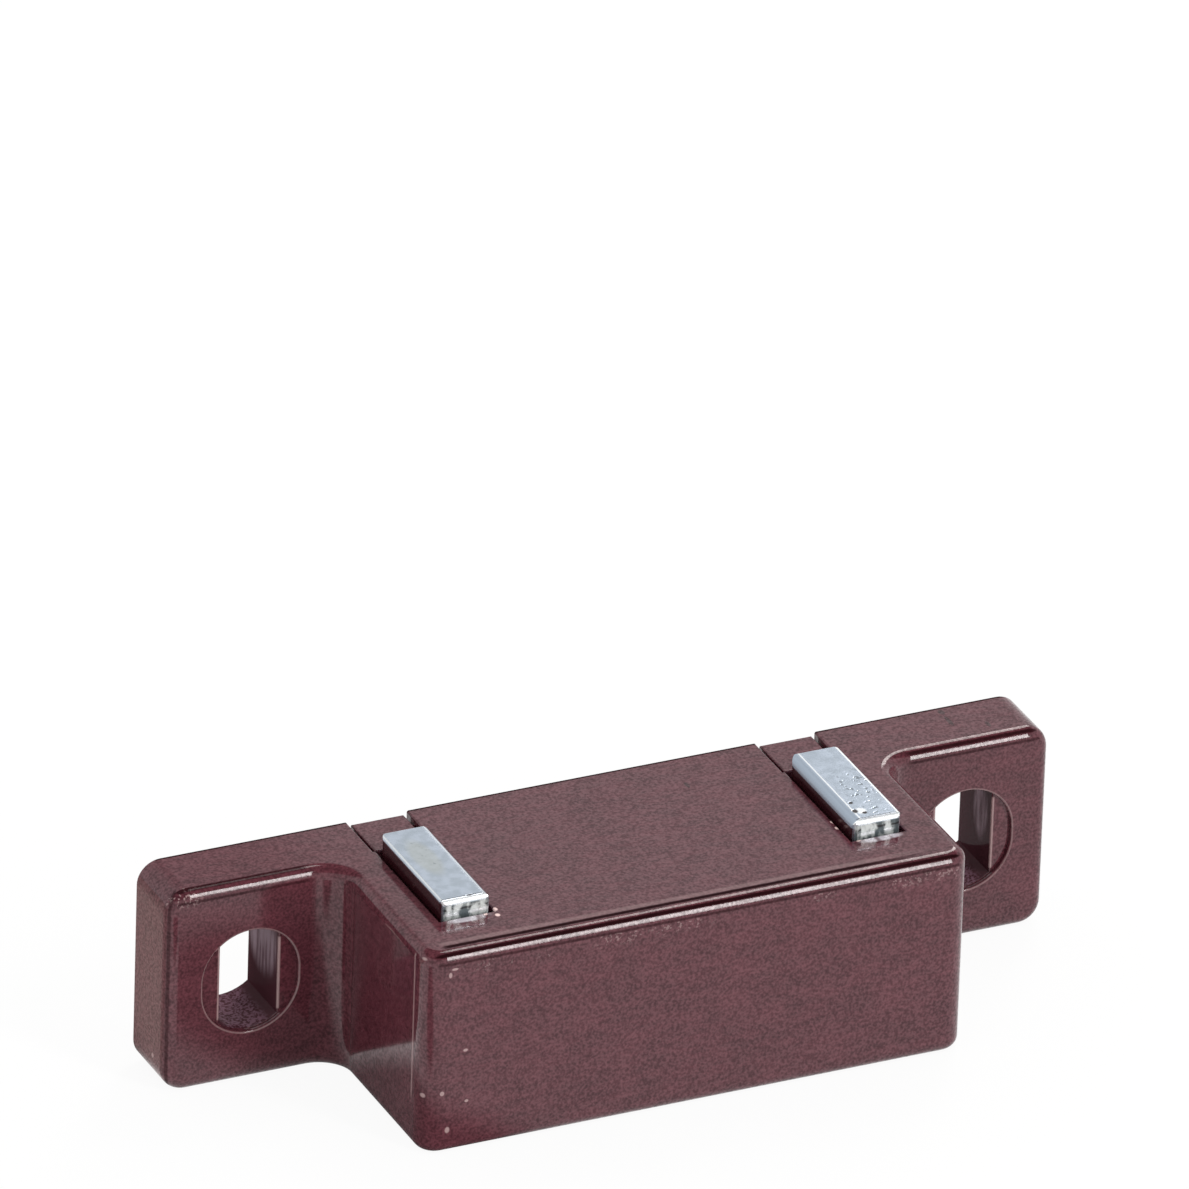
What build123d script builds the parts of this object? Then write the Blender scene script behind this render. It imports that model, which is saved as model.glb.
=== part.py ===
from build123d import *
import os

# Magnetic catch: a moulded housing with a magnet and two steel pole plates inside.
# X runs along the length, +Y points out of the mounting face, +Z is the side of the pole tips.
# The origin is the centre of the mounting face. All sizes are in millimetres.

# Housing, outside
block_length = 45.4
ear_length = 14.3
height = 17.2
depth = 21.8
ear_thickness = 5.9
ear_corner_radius = 1.9
front_edge_radius = 0.95
block_corner_radius = 1.7
inner_corner_radius = 2.4

# Screw slots in the ears, each with a shallow seat for the screw head
slot_from_end = 7.0
seat_width = 7.9
seat_straight = 0.8
seat_depth = 0.4
seat_edge_radius = 0.15
slot_width = 4.8
slot_inset = 0.06
slot_side_radius = 0.12

# Housing, inside
wall = 2.0
cavity_corner_radius = 0.6
rib_thickness = 1.2
rib_spacing = 7.0
pad_height = 5.0

# Back cover, which sits on a ledge in the open back
cover_thickness = 2.0
cover_sink = 0.1
cover_gap = 0.1
ledge_width = 0.8
ledge_corner_radius = 0.8
pusher_height = 7.0

# Fingers of the cover, which close the pole slots behind the tips
finger_gap = 0.3
finger_sink = 0.2
finger_extra_width = 0.4
finger_edge_radius = 0.15

# Pole plates, stamped from sheet steel
pole_inset = 3.5
pole_thickness = 4.1
tip_height = 1.45
tip_setback = 5.3
finger_length = 4.9
shoulder = 1.5
tip_rear_radius = 0.9
tip_front_radius = 0.5
tip_top_radius = 0.4
tip_edge_radius = 0.25
rolled_edge_radius = 0.7
slot_gap = 0.25
slot_rim_radius = 0.15
seat_gap = 0.1

# Magnet, a sintered block between the pole plates
magnet_inset = 1.3
magnet_headroom = 2.1
magnet_chamfer = 0.4

# Places that follow from the sizes
length = block_length + 2 * ear_length
slot_places = (-(length / 2 - slot_from_end), length / 2 - slot_from_end)
seat_height = seat_width + seat_straight
top = height / 2
bottom = -height / 2
cavity_side = block_length / 2 - wall
cavity_front = -(depth - wall)
cavity_floor = bottom + wall
cavity_roof = top - wall
cover_back = -cover_sink
cover_front = cover_back - cover_thickness
tip_front = -(depth - tip_setback)
tip_rear = -finger_length
tip_depth = tip_rear - tip_front
pole_front = tip_front - shoulder
pole_rear = tip_rear + shoulder
pole_top = cavity_roof - seat_gap
pole_outside = block_length / 2 - pole_inset
magnet_end = pole_outside - pole_thickness
pole_middle = (pole_outside + magnet_end) / 2
pole_places = {"pole_left": -pole_middle, "pole_right": pole_middle}
slot_half = pole_thickness / 2 + slot_gap
finger_slot_half = slot_half + finger_extra_width / 2
past = 1.0
slack = 0.01


def box_between(x, y, z):
    """A box given by its low and high value along each axis."""
    spans = (x, y, z)
    return Pos(*[(low + high) / 2 for low, high in spans]) * Box(*[high - low for low, high in spans])


def facing_front(sketch, y):
    """A flat outline drawn in X and Z, set at that depth and facing the front."""
    return Plane(origin=(0, y, 0), x_dir=(1, 0, 0), z_dir=(0, -1, 0)) * sketch


def rounded_box(x, y, z, radius):
    """A box whose edges along Y are rounded."""
    box = box_between(x, y, z)
    return fillet(box.edges().filter_by(Axis.Y), radius)


def plan_outline():
    """The outline of the housing seen from above: an ear, the block and the other ear."""
    end = length / 2
    side = block_length / 2
    half = [(0, -depth), (side, -depth), (side, -ear_thickness), (end, -ear_thickness), (end, 0), (0, 0)]
    outline = make_face(Polyline(*half, close=True))
    outline = fillet(outline.vertices().sort_by_distance((side, -depth))[0], block_corner_radius)
    outline = fillet(outline.vertices().sort_by_distance((side, -ear_thickness))[0], inner_corner_radius)
    return outline + mirror(outline, Plane.YZ)


def is_front_edge(edge):
    """True for the edges round the front of the moulding, and not for its upright seams and back."""
    box = edge.bounding_box()
    upright = edge.geom_type == GeomType.LINE and box.size.Z > max(box.size.X, box.size.Y)
    at_the_end = abs(edge.center().X) > length / 2 - front_edge_radius
    return box.max.Y < -front_edge_radius and (at_the_end or not upright)


def outer_form():
    """The solid outside of the moulding: rounded ears, rounded front edges and a sharp back."""
    plan = Pos(0, 0, bottom) * extrude(plan_outline(), amount=height)
    front_view = RectangleRounded(length, height, ear_corner_radius)
    body = plan & extrude(facing_front(front_view, 0), amount=depth)
    return fillet(body.edges().filter_by(is_front_edge), front_edge_radius)


def screw_seat():
    """The shallow round-ended seat for a screw head, in the front of an ear."""
    outline = SlotOverall(seat_height, seat_width, rotation=90)
    return extrude(facing_front(outline, -(ear_thickness - seat_depth)), amount=seat_depth + past)


def screw_slot():
    """The slot for the screw through an ear: the seat's outline cut down to two flat sides."""
    outline = SlotOverall(seat_height - 2 * slot_inset, seat_width - 2 * slot_inset, rotation=90)
    outline = outline & Rectangle(slot_width, seat_height)
    return extrude(facing_front(outline, past), amount=ear_thickness + 2 * past)


def pole_slot(x):
    """The slot for one tip in the top wall, wider behind the tip and open to the mounting face."""
    z = (cavity_roof - past, top + past)
    narrow = box_between((x - slot_half, x + slot_half), (tip_front - slot_gap, past), z)
    return narrow + box_between((x - finger_slot_half, x + finger_slot_half), (tip_rear, past), z)


def opening_edges(body, axis, level, places, reach):
    """The edges round the openings at those places along X, in the flat face at that level."""
    edges = body.edges().filter_by_position(axis, level - slack, level + slack)
    chosen = []
    for edge in edges:
        box = edge.bounding_box()
        if any(max(abs(box.min.X - x), abs(box.max.X - x)) < reach + slack for x in places):
            chosen.append(edge)
    return chosen


def locating_ribs():
    """Ribs on the end walls that hold the pole plates against the magnet, and front pads behind the tips."""
    ribs = []
    for side in (-1, 1):
        x = sorted((side * (pole_outside + seat_gap), side * (cavity_side + wall / 2)))
        for z in (-rib_spacing / 2, rib_spacing / 2):
            span = (z - rib_thickness / 2, z + rib_thickness / 2)
            ribs.append(box_between(x, (cavity_front - wall / 2, cover_front - cover_gap), span))
    for x in pole_places.values():
        pad = (x - pole_thickness / 2, x + pole_thickness / 2)
        y = (cavity_front - wall / 2, pole_front - seat_gap)
        ribs.append(box_between(pad, y, (cavity_floor - wall / 2, cavity_floor + pad_height)))
    return ribs


def make_housing():
    """The moulded housing."""
    x = (-cavity_side, cavity_side)
    hollow = rounded_box(x, (cavity_front, past), (cavity_floor, cavity_roof), cavity_corner_radius)
    ledge = rounded_box(
        (x[0] - ledge_width, x[1] + ledge_width),
        (cover_front, past),
        (cavity_floor - ledge_width, cavity_roof + ledge_width),
        ledge_corner_radius,
    )
    body = outer_form() - hollow - ledge
    for rib in locating_ribs():
        body += rib
    for place in pole_places.values():
        body -= pole_slot(place)
    for place in slot_places:
        body -= Pos(place, 0, 0) * screw_seat()
        body -= Pos(place, 0, 0) * screw_slot()
    seat_rims = opening_edges(body, Axis.Y, -ear_thickness, slot_places, seat_width / 2)
    body = fillet(seat_rims, seat_edge_radius)
    seat_floor = seat_depth - ear_thickness
    slot_sides = opening_edges(body, Axis.Y, seat_floor, slot_places, slot_width / 2)
    body = fillet([edge for edge in slot_sides if edge.geom_type == GeomType.LINE], slot_side_radius)
    slot_rims = opening_edges(body, Axis.Z, top, pole_places.values(), finger_slot_half)
    return fillet(slot_rims, slot_rim_radius)


def make_cover():
    """The back cover, with two fingers above the pole plates and two pads that press them forward."""
    fit = ledge_width - cover_gap
    y = (cover_front, cover_back)
    plate = rounded_box(
        (-cavity_side - fit, cavity_side + fit),
        y,
        (cavity_floor - fit, cavity_roof + fit),
        ledge_corner_radius - cover_gap,
    )
    for x in pole_places.values():
        half = finger_slot_half - finger_gap
        finger = box_between(
            (x - half, x + half), (tip_rear + finger_gap, cover_back), (cavity_roof + seat_gap, top - finger_sink)
        )
        finger = fillet(finger.faces().sort_by(Axis.Z)[-1].edges(), finger_edge_radius)
        pusher = box_between(
            (x - pole_thickness / 2, x + pole_thickness / 2),
            (pole_rear + seat_gap, cover_front + past),
            (-pusher_height / 2, pusher_height / 2),
        )
        plate = plate + finger + pusher
    return plate


def tip_section(x, rolled_side):
    """The tip seen from the front, with the wide rolled edge of the stamping on one side."""
    height_inside = top + tip_height - cavity_floor
    section = Pos(x, cavity_floor + height_inside / 2) * Rectangle(pole_thickness, height_inside)
    upper = section.vertices().group_by(Axis.Y)[-1].sort_by(Axis.X)
    rolled, plain = (upper[-1], upper[0]) if rolled_side > 0 else (upper[0], upper[-1])
    section = fillet(rolled, rolled_edge_radius)
    plain = section.vertices().sort_by_distance((plain.X, plain.Y))[0]
    return fillet(plain, tip_edge_radius)


def make_pole(x, rolled_side):
    """One pole plate: a stamped plate whose narrower tip passes the top wall."""
    half = pole_thickness / 2
    plate = box_between((x - half, x + half), (pole_front, pole_rear), (cavity_floor, pole_top))
    tip = box_between((x - half, x + half), (tip_front, tip_rear), (cavity_floor, top + tip_height))
    ends = tip.faces().sort_by(Axis.Z)[-1].edges().filter_by(Axis.X)
    tip = fillet(ends.sort_by(Axis.Y)[0], tip_top_radius)
    ends = tip.faces().sort_by(Axis.Y)[-1].edges().sort_by(Axis.Z)[-1]
    tip = fillet(ends, tip_edge_radius)
    tip = tip & extrude(facing_front(tip_section(x, rolled_side), tip_rear), amount=tip_depth)
    plan = Rectangle(pole_thickness, tip_depth)
    plan = fillet(plan.vertices().group_by(Axis.Y)[0], tip_front_radius)
    plan = fillet(plan.vertices().group_by(Axis.Y)[-1], tip_rear_radius)
    plan = Pos(x, (tip_front + tip_rear) / 2, cavity_floor) * plan
    tip = tip & extrude(plan, amount=top + tip_height - cavity_floor)
    return plate + tip


def make_magnet():
    """The magnet block, which lies on the floor of the housing between the pole plates."""
    block = box_between(
        (-magnet_end, magnet_end),
        (pole_front + magnet_inset, pole_rear - magnet_inset),
        (cavity_floor, pole_top - magnet_headroom),
    )
    return chamfer(block.edges().filter_by(Axis.X), magnet_chamfer)


parts = {
    "housing": make_housing(),
    "back_cover": make_cover(),
    "magnet": make_magnet(),
}
for pole, place in pole_places.items():
    parts[pole] = make_pole(place, -place)

os.makedirs("parts", exist_ok=True)
for name, shape in parts.items():
    shape.label = name
    export_step(shape, f"parts/{name}.step")
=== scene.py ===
import math

import bpy
from mathutils import Matrix, Vector


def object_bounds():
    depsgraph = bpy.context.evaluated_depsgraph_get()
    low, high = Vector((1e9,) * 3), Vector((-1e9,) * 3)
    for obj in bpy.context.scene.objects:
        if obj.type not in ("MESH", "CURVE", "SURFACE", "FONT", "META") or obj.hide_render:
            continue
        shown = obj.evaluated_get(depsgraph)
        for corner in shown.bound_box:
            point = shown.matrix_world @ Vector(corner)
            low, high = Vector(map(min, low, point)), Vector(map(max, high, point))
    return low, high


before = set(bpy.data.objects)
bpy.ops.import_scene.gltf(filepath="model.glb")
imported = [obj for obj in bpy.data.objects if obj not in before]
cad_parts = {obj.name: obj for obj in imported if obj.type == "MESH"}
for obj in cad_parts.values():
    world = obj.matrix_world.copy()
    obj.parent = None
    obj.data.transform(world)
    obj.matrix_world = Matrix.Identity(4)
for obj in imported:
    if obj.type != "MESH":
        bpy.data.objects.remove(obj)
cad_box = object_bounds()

# Housing: one moulding in dark brown plastic, a hollow block with a slotted ear at each end.
# It comes out of a polished mould, so its skin is glossy with a faint grain, flow marks and a few nicks.
# The ears' slots take the two screws that hold the catch.

MM = 0.001


class Field:
    """A value in a material's node tree. Arithmetic on it adds Math nodes."""

    def __init__(self, tree, socket=None):
        self.tree = tree
        self.socket = socket

    def node(self, kind, settings=None, sockets=None, out=0):
        """Adds a node: its settings first, then the values or links of its sockets."""
        made = self.tree.nodes.new("ShaderNode" + kind)
        for name, value in (settings or {}).items():
            setattr(made, name, value)
        for name, value in (sockets or {}).items():
            if isinstance(value, Field):
                self.tree.links.new(value.socket, made.inputs[name])
            else:
                made.inputs[name].default_value = value
        return Field(self.tree, made.outputs[out] if made.outputs else None)

    def maths(self, operation, *values):
        """Adds a Math node on those values."""
        return self.node("Math", {"operation": operation}, dict(enumerate(values)))

    def __add__(self, other):
        return self.maths("ADD", self, other)

    def __radd__(self, other):
        return self.maths("ADD", other, self)

    def __sub__(self, other):
        return self.maths("SUBTRACT", self, other)

    def __rsub__(self, other):
        return self.maths("SUBTRACT", other, self)

    def __mul__(self, other):
        return self.maths("MULTIPLY", self, other)

    def __rmul__(self, other):
        return self.maths("MULTIPLY", other, self)

    def __abs__(self):
        return self.maths("ABSOLUTE", self)

    def ramp(self, low, high):
        """0 below low and 1 above high, with a soft step between them."""
        return self.node(
            "MapRange",
            {"interpolation_type": "SMOOTHSTEP"},
            {"Value": self, "From Min": low, "From Max": high},
        )

    def blend(self, first, second):
        """The first colour where this value is 0 and the second where it is 1."""
        return self.node("Mix", {"data_type": "RGBA"}, {0: self, 6: first, 7: second}, out=2)


def new_material(name):
    """An empty material and the field of its places, in the object's own coordinates."""
    material = bpy.data.materials.new(name)
    material.use_nodes = True
    material.node_tree.nodes.clear()
    return material, Field(material.node_tree).node("TexCoord", out="Object")


def finish_material(place, shader_sockets):
    """Closes a material with one Principled shader."""
    surface = place.node("BsdfPrincipled", None, shader_sockets)
    place.node("OutputMaterial", None, {"Surface": surface})


def axes_of(place):
    """The three coordinates of each place, in millimetres."""
    scaled = place.node("VectorMath", {"operation": "SCALE"}, {"Vector": place, "Scale": 1 / MM})
    return [scaled.node("SeparateXYZ", None, {"Vector": scaled}, out=index) for index in range(3)]


def noise(place, per_mm, detail=2.0, stretch=(1, 1, 1)):
    """Cloudy noise with that many lumps a millimetre, drawn out along an axis by a small stretch."""
    scale = [per_mm / MM * share for share in stretch]
    scaled = place.node("VectorMath", {"operation": "MULTIPLY"}, {0: place, 1: scale})
    return place.node("TexNoise", None, {"Vector": scaled, "Scale": 1.0, "Detail": detail})


def spots(place, marks):
    """1 inside each of some soft-edged marks, given by their centres and half sizes in millimetres."""
    found = None
    for centre, halves in marks:
        offset = place.node(
            "VectorMath", {"operation": "SUBTRACT"}, {0: place, 1: [value * MM for value in centre]}
        )
        shares = [1 / (half * MM) for half in halves]
        scaled = place.node("VectorMath", {"operation": "MULTIPLY"}, {0: offset, 1: shares})
        reach = place.node("VectorMath", {"operation": "LENGTH"}, {0: scaled}, out=1)
        mark = 1.0 - reach.ramp(0.6, 1.1)
        found = mark if found is None else place.maths("MAXIMUM", found, mark)
    return found


def colour(red, green, blue):
    """A colour as it is read on a screen, 0 to 255, turned into the shader's linear values."""
    linear = []
    for channel in (red, green, blue):
        share = channel / 255
        linear.append(share / 12.92 if share <= 0.04045 else ((share + 0.055) / 1.055) ** 2.4)
    return (*linear, 1.0)


def dress(node, material):
    """Gives a CAD node's own mesh a material in each of its slots."""
    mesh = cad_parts[node].data
    if not mesh.materials:
        mesh.materials.append(material)
    for index in range(len(mesh.materials)):
        mesh.materials[index] = material


# places on the moulding, in millimetres
TOP = 8.6
FRONT = -21.8
EAR_FRONT = -5.9
SLOT_PLACE = 30.0
SLOT_HALF_WIDTH = 2.4
SLOT_HALF_LENGTH = 4.3
SLOT_SIDE_EDGE = 2.47
SEAT_HALF_STRAIGHT = 0.4
SEAT_RIM_RADIUS = 4.05

BROWN = colour(101, 52, 61)
BROWN_DARK = colour(60, 29, 35)
# near-black for the dark marks and for the painted shade lines
DARK_MARK_AND_SHADE = colour(26, 7, 9)
SLOT_PAINTED_SHADE = colour(74, 42, 49)
SLOT_MOTTLED = colour(122, 88, 103)
SLOT_PAINTED_REFLECTION = colour(158, 136, 146)
# the pale colour of nicks, also used for painted highlights
SCRATCH_AND_HIGHLIGHT = colour(182, 154, 153)
# pale painted reflection of the tips on the plastic
TIP_REFLECTION_PALE = colour(196, 190, 198)
BURR_GLINT = colour(235, 205, 200)

plastic, place = new_material("brown_plastic")
x, y, z = axes_of(place)
grain = noise(place, 4.6, 3.0)
clouds = noise(place, 0.35, 3.0)
flow = noise(place, 1.6, 2.0, (0.25, 1, 1))
tone = grain.ramp(0.3, 0.7) * 0.65 + clouds.ramp(0.3, 0.7) * 0.15 + flow.ramp(0.35, 0.65) * 0.2

# the slots' walls are painted: pale streaks of painted reflection, darker painted shade in the recess,
# mottled ends and little gloss
across_slot = abs(x) - SLOT_PLACE
in_width = 1.0 - abs(across_slot).ramp(SLOT_HALF_WIDTH + 0.02, SLOT_HALF_WIDTH + 0.15)
in_length = 1.0 - abs(z).ramp(SLOT_HALF_LENGTH, SLOT_HALF_LENGTH + 0.1)
in_slot = in_width * in_length * y.ramp(-5.5, -5.35) * (1.0 - y.ramp(-0.1, -0.02))
streaks = noise(place, 2.2, 2.0, (1, 1, 0.12)).ramp(0.35, 0.65)
painted_slot_reflection = spots(place, (
    ((-27.6, -2.6, 1.8), (0.8, 3.0, 3.4)),
    ((32.4, -3.6, 1.2), (0.8, 1.3, 2.8)),
)) * (streaks * 0.7 + 0.3)
# the seat's rim and the front edges of the slots' flat sides carry pale painted highlights
round_part = place.maths("MAXIMUM", abs(z) - SEAT_HALF_STRAIGHT, 0.0)
seat_reach = place.maths("SQRT", across_slot * across_slot + round_part * round_part)
seat_rim_highlight = 1.0 - abs(seat_reach - SEAT_RIM_RADIUS).ramp(0.03, 0.1)
seat_rim_highlight = seat_rim_highlight * (1.0 - y.ramp(EAR_FRONT + 0.02, EAR_FRONT + 0.2))
side_edge_highlight = 1.0 - abs(abs(across_slot) - SLOT_SIDE_EDGE).ramp(0.06, 0.16)
side_edge_highlight = side_edge_highlight * (1.0 - abs(y + 5.46).ramp(0.08, 0.16)) * (1.0 - abs(z).ramp(3.0, 3.2))

# nicks under the front top edge, where the catch has been knocked; at the left ear's corner the pale
# crumbs are painted glints, and the specks high on the block's left corner are painted highlights
edge_band = z.ramp(6.4, 7.2) * (1.0 - z.ramp(7.6, 7.75)) * (1.0 - y.ramp(FRONT + 0.05, FRONT + 0.2))
ear_corner = (1.0 - x.ramp(-35.2, -33.6)) * z.ramp(7.3, 7.8) * (1.0 - y.ramp(-5.0, -4.8))
crumbs = noise(place, 4.2, 1.0).ramp(0.54, 0.68)
nicks_and_glints = crumbs * noise(place, 0.3, 1.0).ramp(0.42, 0.55) * edge_band * 0.45 + crumbs * ear_corner * 0.8
specks_and_highlights = spots(place, (
    ((-21.17, -21.75, -3.3), (0.2, 0.4, 0.22)),
    ((-22.46, -21.1, -3.56), (0.2, 0.4, 0.22)),
    ((-20.67, -21.8, -6.53), (0.22, 0.4, 0.3)),
    ((-19.33, -21.8, 0.12), (0.22, 0.4, 0.14)),
    ((-19.13, -21.8, -4.3), (0.18, 0.4, 0.14)),
    ((-37.0, -3.65, -6.19), (0.4, 0.22, 0.22)),
    ((-22.25, -20.65, 8.05), (0.4, 0.35, 0.16)),
    ((-20.76, -21.8, 6.84), (0.16, 0.4, 0.26)),
    ((-20.4, -21.8, 7.3), (0.3, 0.4, 0.12)),
    ((-21.3, -21.35, 8.15), (0.3, 0.25, 0.12)),
))
# burrs beside the tips, raised in the relief and painted near-white: partly real burrs, partly painted
# glints
burrs_and_glints = spots(place, (
    ((-19.35, -10.78, 8.5), (0.2, 0.28, 0.3)),
    ((-14.75, -16.5, 8.5), (0.22, 0.3, 0.3)),
    ((-14.95, -17.4, 8.6), (0.22, 0.25, 0.3)),
    ((-15.75, -16.95, 8.5), (0.2, 0.2, 0.3)),
    ((14.8, -13.5, 8.5), (0.2, 0.25, 0.3)),
    ((14.75, -14.5, 8.5), (0.24, 0.28, 0.3)),
    ((14.95, -15.4, 8.5), (0.2, 0.22, 0.3)),
    ((15.4, -16.85, 8.5), (0.24, 0.2, 0.3)),
))
marks = spots(place, (
    ((6.95, -4.12, 8.6), (0.2, 0.55, 0.3)),
    ((30.1, -0.7, 8.6), (0.3, 0.45, 0.3)),
    ((30.05, -2.2, 8.6), (0.22, 0.9, 0.3)),
    ((32.64, -3.73, 8.6), (0.2, 0.5, 0.3)),
))

# a pale patch on the top face in front of each tip is a painted reflection of the tip
painted_tip_reflection = spots(place, (
    ((-17.2, -17.1, 8.6), (2.0, 0.5, 0.2)),
    ((17.2, -17.1, 8.6), (2.0, 0.5, 0.2)),
)) * noise(place, 1.1, 1.0, (1, 0.15, 1)).ramp(0.34, 0.54)

# dark lines of painted shade and painted dark reflection run along the top face's edges, under the
# bright front edges and down the left end; a pale painted highlight lies behind the front one
on_block = (1.0 - x.ramp(14.0, 21.0)) * x.ramp(-21.2, -20.4)
on_top = z.ramp(TOP - 0.1, TOP - 0.02)
line_behind_edge = (1.0 - abs(y + 20.56).ramp(0.1, 0.3)) * on_top * on_block
painted_pale_line_behind_it = (1.0 - abs(y + 20.05).ramp(0.1, 0.4)) * on_top * on_block
line_on_edge = (1.0 - abs(y + 21.41).ramp(0.06, 0.2)) * z.ramp(8.22, 8.32)
line_at_back = y.ramp(-0.26, -0.1) * on_top
on_left_ear = 1.0 - x.ramp(-26.0, -24.5)
on_right_ear = x.ramp(24.0, 25.5)
line_on_left_ear = (1.0 - abs(y + 5.17).ramp(0.12, 0.3)) * z.ramp(8.3, 8.4) * on_left_ear * 0.8
line_on_right_ear = (1.0 - abs(y + 5.5).ramp(0.06, 0.2)) * z.ramp(8.2, 8.3) * on_right_ear * 0.9
on_ears_front = (1.0 - abs(y + 5.85).ramp(0.06, 0.1)) * (on_left_ear + on_right_ear)
on_block_front = 1.0 - y.ramp(FRONT + 0.1, FRONT + 0.2)
line_below = (1.0 - abs(z - 7.76).ramp(0.04, 0.18)) * (on_block_front + on_ears_front) * 0.65
line_at_end = (1.0 - abs(x - y + 31.17).ramp(0.1, 0.32)) * (1.0 - x.ramp(-36.1, -35.9)) * 0.6
painted_dark_lines = line_behind_edge
for line in (line_on_edge, line_at_back, line_on_left_ear, line_on_right_ear, line_below, line_at_end):
    painted_dark_lines = place.maths("MAXIMUM", painted_dark_lines, line)

# a pale painted highlight stands on the left wall beside the block's rounded corner
on_left_wall = x.ramp(-23.4, -23.0) * (1.0 - x.ramp(-22.68, -22.6)) * z.ramp(-5.0, -3.5)
painted_highlight_line = (1.0 - abs(y + 19.55).ramp(0.05, 0.18)) * on_left_wall

base = tone.blend(BROWN_DARK, BROWN)
# pale painted highlight behind the front edge's dark line
base = (painted_pale_line_behind_it * 0.2).blend(base, SCRATCH_AND_HIGHLIGHT)
slot_end = abs(z).ramp(3.7, 4.1) * grain.ramp(0.4, 0.6)
# slot walls: painted reflection streaks over painted shade, mottled at the ends
slot_wall = painted_slot_reflection.blend(slot_end.blend(SLOT_PAINTED_SHADE, SLOT_MOTTLED), SLOT_PAINTED_REFLECTION)
base = in_slot.blend(base, slot_wall)
base = (marks * 0.65).blend(base, DARK_MARK_AND_SHADE)
# painted reflection of the tips
base = (painted_tip_reflection * 0.85).blend(base, TIP_REFLECTION_PALE)
# pale painted highlights on the seat's rim, the left wall and the slots' side edges
base = (seat_rim_highlight * 0.3 + painted_highlight_line * 0.45 + side_edge_highlight * 0.6).blend(base, SCRATCH_AND_HIGHLIGHT)
# pale nicks, with painted glints and painted highlights among them
base = (place.maths("MAXIMUM", nicks_and_glints, specks_and_highlights) * 0.7).blend(base, SCRATCH_AND_HIGHLIGHT)
# painted glints on the burrs
base = burrs_and_glints.blend(base, BURR_GLINT)
relief = grain + nicks_and_glints * 1.5 + burrs_and_glints * 2.0

# the top of the left ear has lost a little of its gloss
dulled = (1.0 - x.ramp(-30, -18)) * on_top * 0.35
gloss = (0.7 + grain.ramp(0.3, 0.7) * 0.55) * (1.0 - in_slot * 0.85) * (1.0 - dulled)
moulded = place.node(
    "BsdfPrincipled",
    None,
    {
        "Base Color": base,
        "Roughness": 0.4,
        "Specular IOR Level": 0.0,
        "Coat Weight": gloss,
        "Coat Roughness": 0.1,
        "Coat IOR": 1.5,
        "Normal": place.node("Bump", None, {"Strength": 0.3, "Distance": 0.00002, "Height": relief}),
    },
)

# the dark lines are painted shade and dark reflection, laid on as a matt near-black shader
PAINTED_LINE_COVER = 0.92
painted_shade_shader = place.node("BsdfDiffuse", None, {"Color": DARK_MARK_AND_SHADE})
surface = place.node("MixShader", None, {"Fac": painted_dark_lines * PAINTED_LINE_COVER, 1: moulded, 2: painted_shade_shader})
place.node("OutputMaterial", None, {"Surface": surface})
dress("housing", plastic)

# Back cover: a plate in the same brown plastic, pressed into the open back of the housing.
# Its two fingers come up to the top face and close the slots behind the steel tips.

dress("back_cover", plastic)

# Pole plates: two pieces stamped from steel sheet and plated with zinc, one on each side of the magnet.
# Only their tips stand out of the housing, and the magnet pulls through them.
# The punch rolled one long edge over and left the front face torn and streaky.

TIP_TOP = 10.05
TIP_FRONT = -16.5

ZINC = colour(200, 211, 225)
ZINC_DULL = colour(185, 196, 208)
ZINC_BLUE = colour(168, 181, 196)
ZINC_YELLOW = colour(198, 200, 186)
ZINC_PAINTED_HIGHLIGHT = colour(246, 250, 252)
TORN = colour(224, 231, 229)
STAIN = colour(94, 104, 107)
BROWN_PAINTED_REFLECTION = colour(66, 30, 36)
CHIP_AND_SHADE_BLACK = colour(22, 12, 12)

zinc, place = new_material("zinc_plated_steel")
x, y, z = axes_of(place)
spangle = noise(place, 1.1, 4.0)
fine = noise(place, 3.4, 2.0)
on_right_tip = x.ramp(0.0, 1.0)
at_top = z.ramp(TIP_TOP - 0.1, TIP_TOP - 0.01)

# the torn front face, between a bevel above and a rim at the bottom that are both painted as bright
# highlights
at_front = (1.0 - y.ramp(TIP_FRONT + 0.04, TIP_FRONT + 0.2)) * (1.0 - z.ramp(9.6, 9.7))
tears = noise(place, 1.6, 3.0, (1, 1, 0.5)).ramp(0.42, 0.62)
seam_height = 9.0 + noise(place, 0.9, 2.0) * 0.5
seams = (1.0 - abs(z - seam_height).ramp(0.04, 0.12)) * tears.ramp(0.1, 0.7)
bevel = (1.0 - y.ramp(TIP_FRONT + 0.2, TIP_FRONT + 0.32)) * z.ramp(9.64, 9.74)
bottom_rim = at_front * (1.0 - abs(z - 8.84).ramp(0.08, 0.16)) * (1.0 - tears)

# the rolled edge of the right tip is painted pale down to its foot as a painted sheen, and the sides
# below carry a painted reflection of the brown plastic in shade
rolled = on_right_tip * (1.0 - x.ramp(15.7, 15.82)) * z.ramp(9.3, 9.42)
left_side = 1.0 - x.ramp(-19.14, -19.04)
right_side = on_right_tip * (1.0 - x.ramp(15.14, 15.24))
painted_plastic_reflection = left_side * (1.0 - z.ramp(9.76, 9.88)) + right_side * (1.0 - z.ramp(9.3, 9.42))
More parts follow.
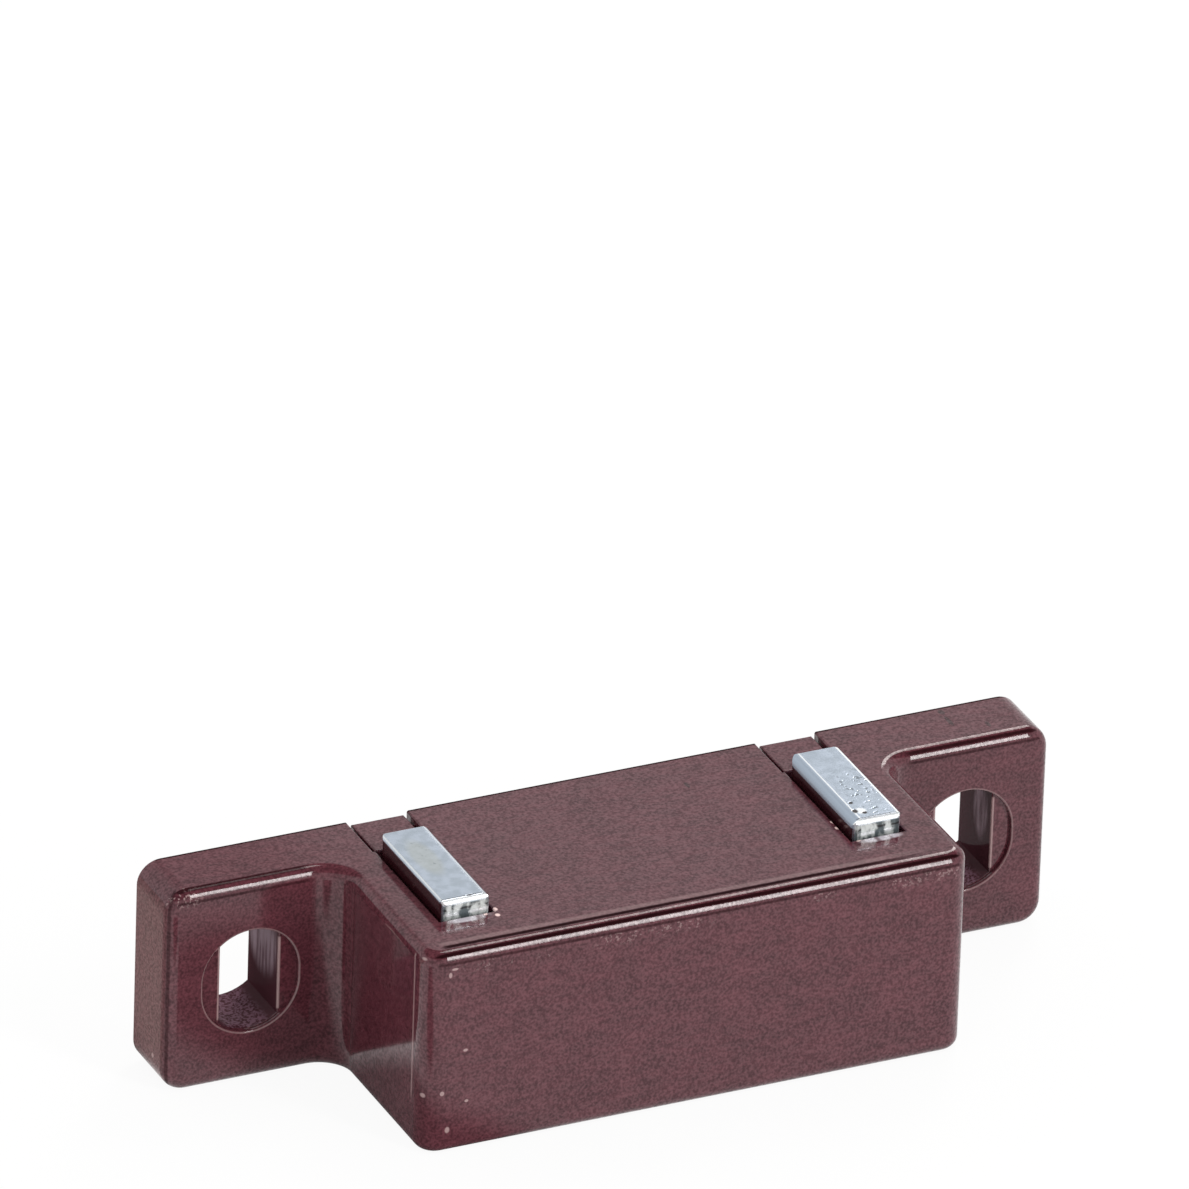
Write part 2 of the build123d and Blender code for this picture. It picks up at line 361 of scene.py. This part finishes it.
# painted highlights along the tips' top edges and the right tip's fold, and painted shade along the
# tips' outer right edges; a dark line crosses each top near its front
left_edge = (1.0 - abs(x + 19.06).ramp(0.03, 0.1)) * z.ramp(9.82, 9.92) * 0.7
fold_line = on_right_tip * (1.0 - abs(x - 15.84).ramp(0.03, 0.1)) * at_top * 0.8
highlight_edges = 1.0 - abs(x + 15.5).ramp(0.06, 0.14)
highlight_edges = highlight_edges + on_right_tip * (1.0 - abs(x - 18.98).ramp(0.05, 0.12))
painted_shade_edges = x.ramp(-15.44, -15.38) * (1.0 - on_right_tip) + x.ramp(19.05, 19.09)
front_line = (1.0 - abs(y + 16.13).ramp(0.03, 0.09)) * at_top

# stains, pits and chips in the top faces
patch = spots(place, (((-17.5, -9.6, 10.05), (1.1, 3.2, 0.5)),))
pits = noise(place, 2.1, 2.0).ramp(0.56, 0.66) * spots(place, (((17.9, -12.4, 10.05), (1.6, 4.6, 0.5)),))
small_pits = fine.ramp(0.62, 0.7) * spots(place, (((-17.6, -9.2, 10.05), (1.2, 2.6, 0.5)),))
chips = spots(place, (
    ((16.2, -13.66, 10.05), (0.2, 0.22, 0.3)),
    ((15.95, -14.95, 10.05), (0.26, 0.34, 0.3)),
    ((16.55, -15.4, 10.05), (0.24, 0.22, 0.3)),
    ((-16.75, -16.12, 10.05), (0.38, 0.1, 0.3)),
))
chip_rim = spots(place, (((16.4, -15.05, 10.05), (0.5, 0.55, 0.3)),))

base = spangle.ramp(0.35, 0.65).blend(ZINC_DULL, ZINC)
base = (on_right_tip * 0.3).blend(base, ZINC_BLUE)
base = (patch * 0.4).blend(base, ZINC_YELLOW)
base = rolled.blend(base, ZINC_BLUE)
base = (pits * 0.7).blend(base, STAIN)
base = (small_pits * 0.35).blend(base, STAIN)
base = at_front.blend(base, tears.blend(TORN, STAIN))
base = (at_front * seams * 0.8).blend(base, CHIP_AND_SHADE_BLACK)
# painted highlights on the bevel, the rims and the top edges
painted_highlights = bevel
for line in (left_edge, fold_line, highlight_edges * at_top, chip_rim * 0.8, bottom_rim):
    painted_highlights = place.maths("MAXIMUM", painted_highlights, line)
base = painted_highlights.blend(base, ZINC_PAINTED_HIGHLIGHT)
# chips, a dark line and painted shade along the tips' outer edges
chips_lines_and_painted_shade = chips
for line in (painted_shade_edges * at_top, front_line * 0.8):
    chips_lines_and_painted_shade = place.maths("MAXIMUM", chips_lines_and_painted_shade, line)
base = chips_lines_and_painted_shade.blend(base, CHIP_AND_SHADE_BLACK)
# painted reflection of the brown plastic on the tips' sides
base = painted_plastic_reflection.blend(base, BROWN_PAINTED_REFLECTION)

# the plating shines least where it is torn, on the rolled edge, and under the painted highlights and the
# painted reflection
dull = painted_plastic_reflection
for mask in (at_front, rolled, painted_highlights):
    dull = place.maths("MAXIMUM", dull, mask)
relief = spangle * 0.6 + tears * at_front * 2.0 - pits * 0.8 - chips * 3.0
finish_material(
    place,
    {
        "Base Color": base,
        "Metallic": (1.0 - chips_lines_and_painted_shade) * (1.0 - dull * 0.6),
        "Roughness": 0.12 + at_top * 0.04 + spangle * 0.06 + at_front * 0.2,
        "Normal": place.node("Bump", None, {"Strength": 0.3, "Distance": 0.00003, "Height": relief}),
    },
)
for pole in ("pole_left", "pole_right"):
    dress(pole, zinc)

# Magnet: a sintered ferrite block, ground on the two faces that meet the pole plates.
# It lies on the floor of the housing and can't be seen from outside.

ferrite, place = new_material("ferrite")
pores = noise(place, 1.5, 5.0)
finish_material(
    place,
    {
        "Base Color": pores.ramp(0.3, 0.7).blend(colour(52, 52, 56), colour(74, 74, 78)),
        "Roughness": 0.62,
    },
)
dress("magnet", ferrite)

# Studio: a white floor that the catch lies on, two tall soft boxes and a white room with a dark ceiling.
# The floor and room are not part of the catch.

FLOOR_RADIUS = 0.6
FLOOR_GLOW = 0.93
floor_height = cad_box[0][2]

bpy.ops.mesh.primitive_circle_add(
    vertices=96, radius=FLOOR_RADIUS, fill_type="NGON", location=(0, 0, floor_height)
)
floor = bpy.context.object
floor.name = "floor"
floor_paint, place = new_material("floor_white")
x, y, z = axes_of(place)
seen = place.node("LightPath", out="Is Camera Ray")
in_gloss = place.node("LightPath", out="Is Glossy Ray")
glow = place.node("Emission", None, {"Color": (1, 1, 1, 1), "Strength": 1.0})
matt = place.node("BsdfDiffuse", None, {"Color": (0.88, 0.88, 0.88, 1)})
paint = place.node("MixShader", None, {"Fac": seen * FLOOR_GLOW, 1: matt, 2: glow})

# the floor's mirror image in the gloss carries painted shade in three patches round the left ear and
# painted brown light behind it
SHADE_DEPTH = 0.82
shade = spots(place, (
    ((-23, -17, 0), (11.5, 14, 9)),
    ((-42, -32, 0), (12, 7, 9)),
    ((-33.5, 6, 0), (6, 9, 9)),
))
behind_ear = (1.0 - x.ramp(-40, -34)) * y.ramp(-8, 0)
painted_mirror_tint = behind_ear.blend((1, 1, 1, 1), (0.66, 0.53, 0.49, 1))
image = place.node("Emission", None, {"Color": painted_mirror_tint, "Strength": 1.0 - shade * SHADE_DEPTH})
paint = place.node("MixShader", None, {"Fac": in_gloss, 1: paint, 2: image})
place.node("OutputMaterial", None, {"Surface": paint})
floor.data.materials.append(floor_paint)


def soft_box(name, centre, width, height, power, tint):
    """Hangs a rectangular lamp at that place, facing the catch, with its height towards the zenith."""
    lamp = bpy.data.lights.new(name, "AREA")
    lamp.shape = "RECTANGLE"
    lamp.size = width
    lamp.size_y = height
    lamp.energy = power
    lamp.color = tint
    box = bpy.data.objects.new(name, lamp)
    bpy.context.scene.collection.objects.link(box)
    box.location = Vector(centre)
    box.rotation_euler = Vector(centre).to_track_quat("Z", "Y").to_euler()
    box.visible_camera = False


soft_box("front_box", (0.58, -1.12, 0.81), width=0.22, height=1.05, power=9.6, tint=(1.0, 0.985, 0.975))
soft_box("back_box", (0.155, 0.172, 0.268), width=0.08, height=0.27, power=0.36, tint=(1.0, 0.95, 0.92))

ROOM_LIGHT = 0.85
WALLS_IN_GLOSS = 0.8
CEILING_DARKER_BY = 0.72

room = bpy.data.worlds.new("room")
bpy.context.scene.world = room
room.use_nodes = True
room.node_tree.nodes.clear()
start = Field(room.node_tree)
direction = start.node("TexCoord", out="Generated")
rise = start.node("SeparateXYZ", None, {"Vector": direction}, out=2)
ray = start.node("LightPath", out="Is Camera Ray")
mirror_ray = start.node("LightPath", out="Is Glossy Ray")
clear_ray = start.node("LightPath", out="Is Transmission Ray")
plain = start.maths("MINIMUM", ray + clear_ray, 1.0)
mirrored = WALLS_IN_GLOSS - rise.ramp(0.56, 0.7) * CEILING_DARKER_BY
strength = plain + (1.0 - plain) * (mirror_ray * mirrored + (1.0 - mirror_ray) * ROOM_LIGHT)
walls = start.node("Background", None, {"Color": (1, 1, 1, 1), "Strength": strength})
start.node("OutputWorld", None, {"Surface": walls})

# Camera: a long lens at the photograph's angle, with the photograph's slight tilt.
# It is aimed so that the middle of the catch's base lands on its pixel in the picture.

AZIMUTH = math.radians(-25.57)
ELEVATION = math.radians(29.2)
ROLL = math.radians(1.98)
PICTURE_SIDE = 1189
PIXELS_PER_MM = 13.025
BASE_CENTRE_PIXEL = (574.94, 973.42)
CAMERA_DISTANCE = 1.5135
SENSOR_MM = 36.0

back = Vector((
    math.sin(AZIMUTH) * math.cos(ELEVATION),
    -math.cos(AZIMUTH) * math.cos(ELEVATION),
    math.sin(ELEVATION),
))
level = Vector((math.cos(AZIMUTH), math.sin(AZIMUTH), 0))
upright = back.cross(level)
right = level * math.cos(ROLL) + upright * math.sin(ROLL)
up = back.cross(right)
base_centre = Vector((0, 0, floor_height))
middle = PICTURE_SIDE / 2
across = (middle - BASE_CENTRE_PIXEL[0]) / PIXELS_PER_MM * MM
above = (BASE_CENTRE_PIXEL[1] - middle) / PIXELS_PER_MM * MM
stand = base_centre + back * CAMERA_DISTANCE
back = (stand - (base_centre + right * across + up * above)).normalized()
right = (right - back * right.dot(back)).normalized()
up = back.cross(right)

lens = bpy.data.cameras.new("camera")
lens.sensor_width = SENSOR_MM
lens.lens = SENSOR_MM * CAMERA_DISTANCE * PIXELS_PER_MM / MM / PICTURE_SIDE
camera = bpy.data.objects.new("camera", lens)
bpy.context.scene.collection.objects.link(camera)
camera.matrix_world = Matrix((
    (right.x, up.x, back.x, stand.x),
    (right.y, up.y, back.y, stand.y),
    (right.z, up.z, back.z, stand.z),
    (0, 0, 0, 1),
))
bpy.context.scene.camera = camera
bpy.context.scene.view_settings.view_transform = "Standard"
